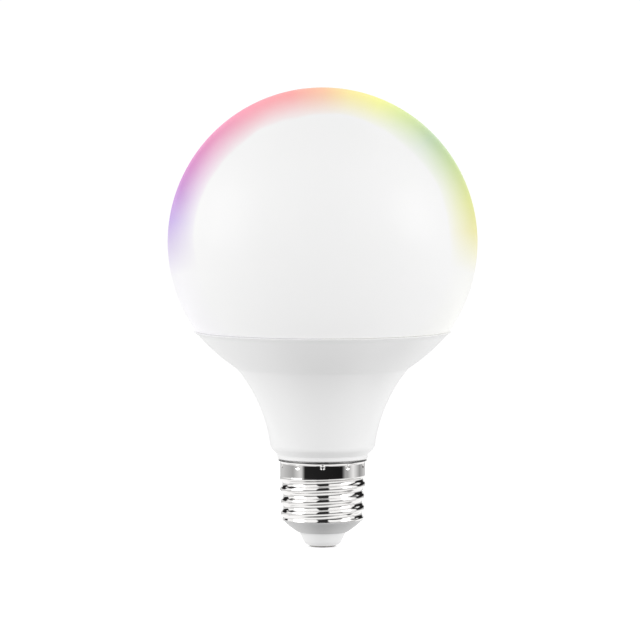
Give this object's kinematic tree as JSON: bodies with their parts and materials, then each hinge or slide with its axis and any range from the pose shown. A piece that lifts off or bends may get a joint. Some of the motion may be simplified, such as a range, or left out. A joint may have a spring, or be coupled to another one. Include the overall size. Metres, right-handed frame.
{
  "type": "smart light bulb",
  "caption": "Large opal globe lamp with a trumpet-shaped white housing, a screw cap, and an LED board and wireless driver inside.",
  "frame": {"origin": "centre of the flat face of the centre contact, the lamp's lowest point with the cap downwards", "axes": "+Z along the lamp's axis from the contact to the top of the globe; -Y is the front, where one of the cap's ten punch marks lies; +X is to the right of the front"},
  "size_m": [0.095, 0.095, 0.141],
  "materials": {
    "opal_plastic": "opal, satin",
    "white_silicone": "cured bead",
    "white_plastic": "satin",
    "nickel_plate": "bright nickel plate",
    "white_insulator": "satin",
    "contact_brass": "tin-plated brass",
    "drawn_aluminium": "drawn, satin",
    "grey_pad": "matte",
    "white_solder_mask": "white solder mask on aluminium",
    "screw_steel": "zinc plated",
    "led_case": "matte",
    "cool_phosphor": "silicone with phosphor",
    "warm_phosphor": "silicone with phosphor",
    "clear_window": "clear resin",
    "green_board": "solder mask on glass fibre",
    "tinned_wire": "tinned",
    "solder": "bright solder",
    "pin_brass": "gold flash",
    "black_plastic": "matte",
    "capacitor_sleeve": "shrink sleeve on an aluminium can",
    "black_rubber": "matte",
    "yellow_box": "potted box",
    "blue_ceramic": "dipped epoxy on ceramic",
    "ferrite": "sintered ferrite",
    "copper_wire": "enamelled copper",
    "yellow_tape": "polyester tape over the winding",
    "fuse_ceramic": "lacquered",
    "clear_sleeve": "shrink tube",
    "chip_plastic": "moulded epoxy",
    "chip_ceramic": "bare ceramic",
    "blue_board": "solder mask on glass fibre",
    "shield_steel": "drawn tinplate",
    "gold_track": "gold flash on copper",
    "red_cover": "insulation",
    "blue_cover": "insulation"
  },
  "bodies": {
    "root": {"globe": "opal_plastic", "globe_seal": "white_silicone", "housing": "white_plastic", "cap_shell": "nickel_plate", "cap_insulator": "white_insulator", "centre_contact": "contact_brass", "heat_sink_cup": "drawn_aluminium", "thermal_pad": "grey_pad", "led_board": "white_solder_mask", "led_board_screws": "screw_steel", "white_led_cases": "led_case", "cool_led_windows": "cool_phosphor", "warm_led_windows": "warm_phosphor", "colour_led_cases": "led_case", "colour_led_windows": "clear_window", "driver_board": "green_board", "component_leads": "tinned_wire", "solder_joints": "solder", "link_pins": "pin_brass", "link_headers": "black_plastic", "input_capacitor": "capacitor_sleeve", "output_capacitor": "capacitor_sleeve", "capacitor_bungs": "black_rubber", "film_capacitor": "yellow_box", "safety_capacitor": "blue_ceramic", "varistor": "blue_ceramic", "choke_core": "ferrite", "choke_winding": "copper_wire", "transformer_core": "ferrite", "transformer_bobbin": "black_plastic", "transformer_winding": "yellow_tape", "transformer_pin_strip": "black_plastic", "fuse_resistor": "fuse_ceramic", "fuse_sleeve": "clear_sleeve", "bridge_rectifier": "chip_plastic", "power_transistor": "chip_plastic", "output_diode": "chip_plastic", "control_chips": "chip_plastic", "chip_legs": "tinned_wire", "chip_parts": "chip_ceramic", "radio_board": "blue_board", "radio_shield": "shield_steel", "radio_chip": "chip_plastic", "radio_antenna": "gold_track", "live_wire": "red_cover", "neutral_wire": "blue_cover"}
  },
  "joints": []
}
